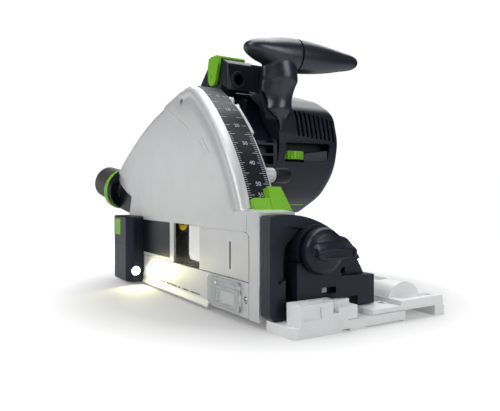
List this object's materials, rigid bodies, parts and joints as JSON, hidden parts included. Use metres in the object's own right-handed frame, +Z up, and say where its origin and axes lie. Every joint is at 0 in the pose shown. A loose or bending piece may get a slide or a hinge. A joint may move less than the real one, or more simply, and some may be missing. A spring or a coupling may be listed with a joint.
{
  "type": "track plunge saw",
  "caption": "Cordless plunge-cut circular saw for a guide rail, with a bevelling guard, sprung plunge, depth stop, lamp and T-shaped front handle.",
  "frame": {"origin": "middle of the base's underside, on the flat sole", "axes": "+X forward in the cutting direction, +Y from the blade towards the motor, +Z up out of the work"},
  "size_m": [0.4358, 0.2004, 0.26],
  "materials": {
    "silver": "satin",
    "base_alloy": "satin",
    "anthracite": "matte",
    "black": "matte",
    "rubber": "matte",
    "green": "satin",
    "steel": "satin",
    "copper": "satin",
    "board": "matte",
    "clear": "gloss",
    "brass": "satin",
    "lamp": "gloss",
    "grey_plastic": "matte"
  },
  "bodies": {
    "base": {"base_plate": "base_alloy", "front_segment": "anthracite", "rear_segment": "anthracite", "front_segment_screw": "steel", "front_knob_bolt": "steel", "rear_knob_bolt": "steel"},
    "front_knob": {"front_lock_knob": "anthracite"},
    "rear_knob": {"rear_lock_knob": "anthracite"},
    "front_jaw": {"front_rail_jaw": "green"},
    "rear_jaw": {"rear_rail_jaw": "green"},
    "bevel_unit": {"guard_housing": "silver", "guard_cover": "silver", "skirt_panel": "silver", "inner_cover_plate": "silver", "guard_front_screw": "steel", "guard_top_screw": "steel", "depth_scale": "black", "stop_buffer": "rubber", "led_housing": "anthracite", "led_lens": "lamp", "led_insert": "green", "front_tilt_flange": "silver", "rear_tilt_flange": "silver", "pivot_shaft": "steel", "return_spring": "steel", "dust_flange": "black", "dust_collar": "green"},
    "splinter_guard": {"splinter_guard": "clear"},
    "depth_stop": {"depth_stop": "green"},
    "nozzle": {"dust_nozzle": "grey_plastic"},
    "motor_unit": {"gear_housing": "anthracite", "gear_cover": "silver", "motor_housing": "anthracite", "motor_end_cap": "anthracite", "front_handle_core": "anthracite", "front_handle_grip": "anthracite", "rear_handle_left": "anthracite", "rear_handle_right": "anthracite", "rear_grip_pad": "rubber", "switch_module": "black", "control_board": "board", "stator": "copper", "motor_front_bearing": "steel", "motor_rear_bearing": "steel", "spindle_bearing": "steel"},
    "trigger": {"trigger": "green"},
    "lock_button": {"lock_button": "green"},
    "dial": {"speed_dial": "green"},
    "lever": {"tool_lever": "green"},
    "knife": {"riving_knife": "steel"},
    "battery": {"battery_pack": "anthracite"},
    "latch": {"battery_latch": "green"},
    "armature": {"armature": "steel", "cooling_fan": "black"},
    "idler": {"idler_gear": "steel"},
    "spindle": {"spindle": "steel", "spindle_gear": "steel", "saw_blade": "steel", "blade_flange": "black", "blade_bolt": "brass"}
  },
  "joints": [
    {"name": "bevel", "type": "hinge", "parent": "base", "child": "bevel_unit", "pos_m": [0, -0.072, 0], "axis": [1, 0, 0], "range_deg": [-1, 47]},
    {"name": "plunge", "type": "hinge", "parent": "bevel_unit", "child": "motor_unit", "pos_m": [-0.113, -0.032, 0.01], "axis": [0, 1, 0], "range_deg": [0, 31], "stiffness_Nm_per_rad": 6, "springref_deg": -63.03},
    {"name": "spindle_spin", "type": "hinge", "parent": "motor_unit", "child": "spindle", "pos_m": [-0.0233, -0.072, 0.081], "axis": [0, 1, 0], "continuous": true},
    {"name": "idler_spin", "type": "hinge", "parent": "motor_unit", "child": "idler", "pos_m": [-0.022, -0.024, 0.11598], "axis": [0, 1, 0], "continuous": true},
    {"name": "armature_spin", "type": "hinge", "parent": "motor_unit", "child": "armature", "pos_m": [-0.02, -0.024, 0.13688], "axis": [0, 1, 0], "continuous": true},
    {"name": "front_knob_turn", "type": "hinge", "parent": "base", "child": "front_knob", "pos_m": [0.1554, -0.044, 0.061], "axis": [1, 0, 0], "range_deg": [0, 90]},
    {"name": "rear_knob_turn", "type": "hinge", "parent": "base", "child": "rear_knob", "pos_m": [-0.1774, -0.044, 0.061], "axis": [-1, 0, 0], "range_deg": [0, 90]},
    {"name": "front_jaw_turn", "type": "hinge", "parent": "base", "child": "front_jaw", "pos_m": [0.092, 0.048, 0.012], "axis": [0, 0, 1], "range_deg": [-20, 20]},
    {"name": "rear_jaw_turn", "type": "hinge", "parent": "base", "child": "rear_jaw", "pos_m": [-0.128, 0.048, 0.012], "axis": [0, 0, 1], "range_deg": [-20, 20]},
    {"name": "splinter_guard_slide", "type": "slide", "parent": "bevel_unit", "child": "splinter_guard", "axis": [0, 0, -1], "range_m": [0, 0.006]},
    {"name": "depth_stop_slide", "type": "hinge", "parent": "bevel_unit", "child": "depth_stop", "pos_m": [-0.113, -0.064, 0.01], "axis": [0, -1, 0], "range_deg": [0, 31]},
    {"name": "nozzle_swivel", "type": "hinge", "parent": "bevel_unit", "child": "nozzle", "pos_m": [-0.2126, -0.073, 0.111], "axis": [-0.928, -0.2845, 0.2407], "continuous": true},
    {"name": "trigger_pull", "type": "hinge", "parent": "motor_unit", "child": "trigger", "pos_m": [-0.073, -0.0255, 0.187], "axis": [0, 1, 0], "range_deg": [0, 8], "stiffness_Nm_per_rad": 0.4, "springref_deg": -11.46},
    {"name": "lock_button_slide", "type": "slide", "parent": "motor_unit", "child": "lock_button", "axis": [1, 0, 0], "range_m": [0, 0.005], "stiffness_N_per_m": 300, "springref_m": -0.004},
    {"name": "speed_dial_turn", "type": "hinge", "parent": "motor_unit", "child": "dial", "pos_m": [0.035, 0.0155, 0.1443], "axis": [0, 0, 1], "range_deg": [0, 270]},
    {"name": "tool_lever_flip", "type": "hinge", "parent": "motor_unit", "child": "lever", "pos_m": [-0.027, -0.028, 0.248], "axis": [0, -1, 0], "range_deg": [0, 75]},
    {"name": "riving_knife_slide", "type": "slide", "parent": "motor_unit", "child": "knife", "axis": [-0.5, 0, 0.866], "range_m": [0, 0.009], "stiffness_N_per_m": 400, "springref_m": -0.006},
    {"name": "battery_slide", "type": "slide", "parent": "motor_unit", "child": "battery", "axis": [-1, 0, 0], "range_m": [0, 0.09]},
    {"name": "battery_latch_press", "type": "slide", "parent": "battery", "child": "latch", "axis": [1, 0, 0], "range_m": [0, 0.003], "stiffness_N_per_m": 500, "springref_m": -0.003}
  ],
  "couplings": [
    {"joint": "idler_spin", "follows": "spindle_spin", "ratio": -1.1875},
    {"joint": "armature_spin", "follows": "spindle_spin", "ratio": 3.8}
  ]
}
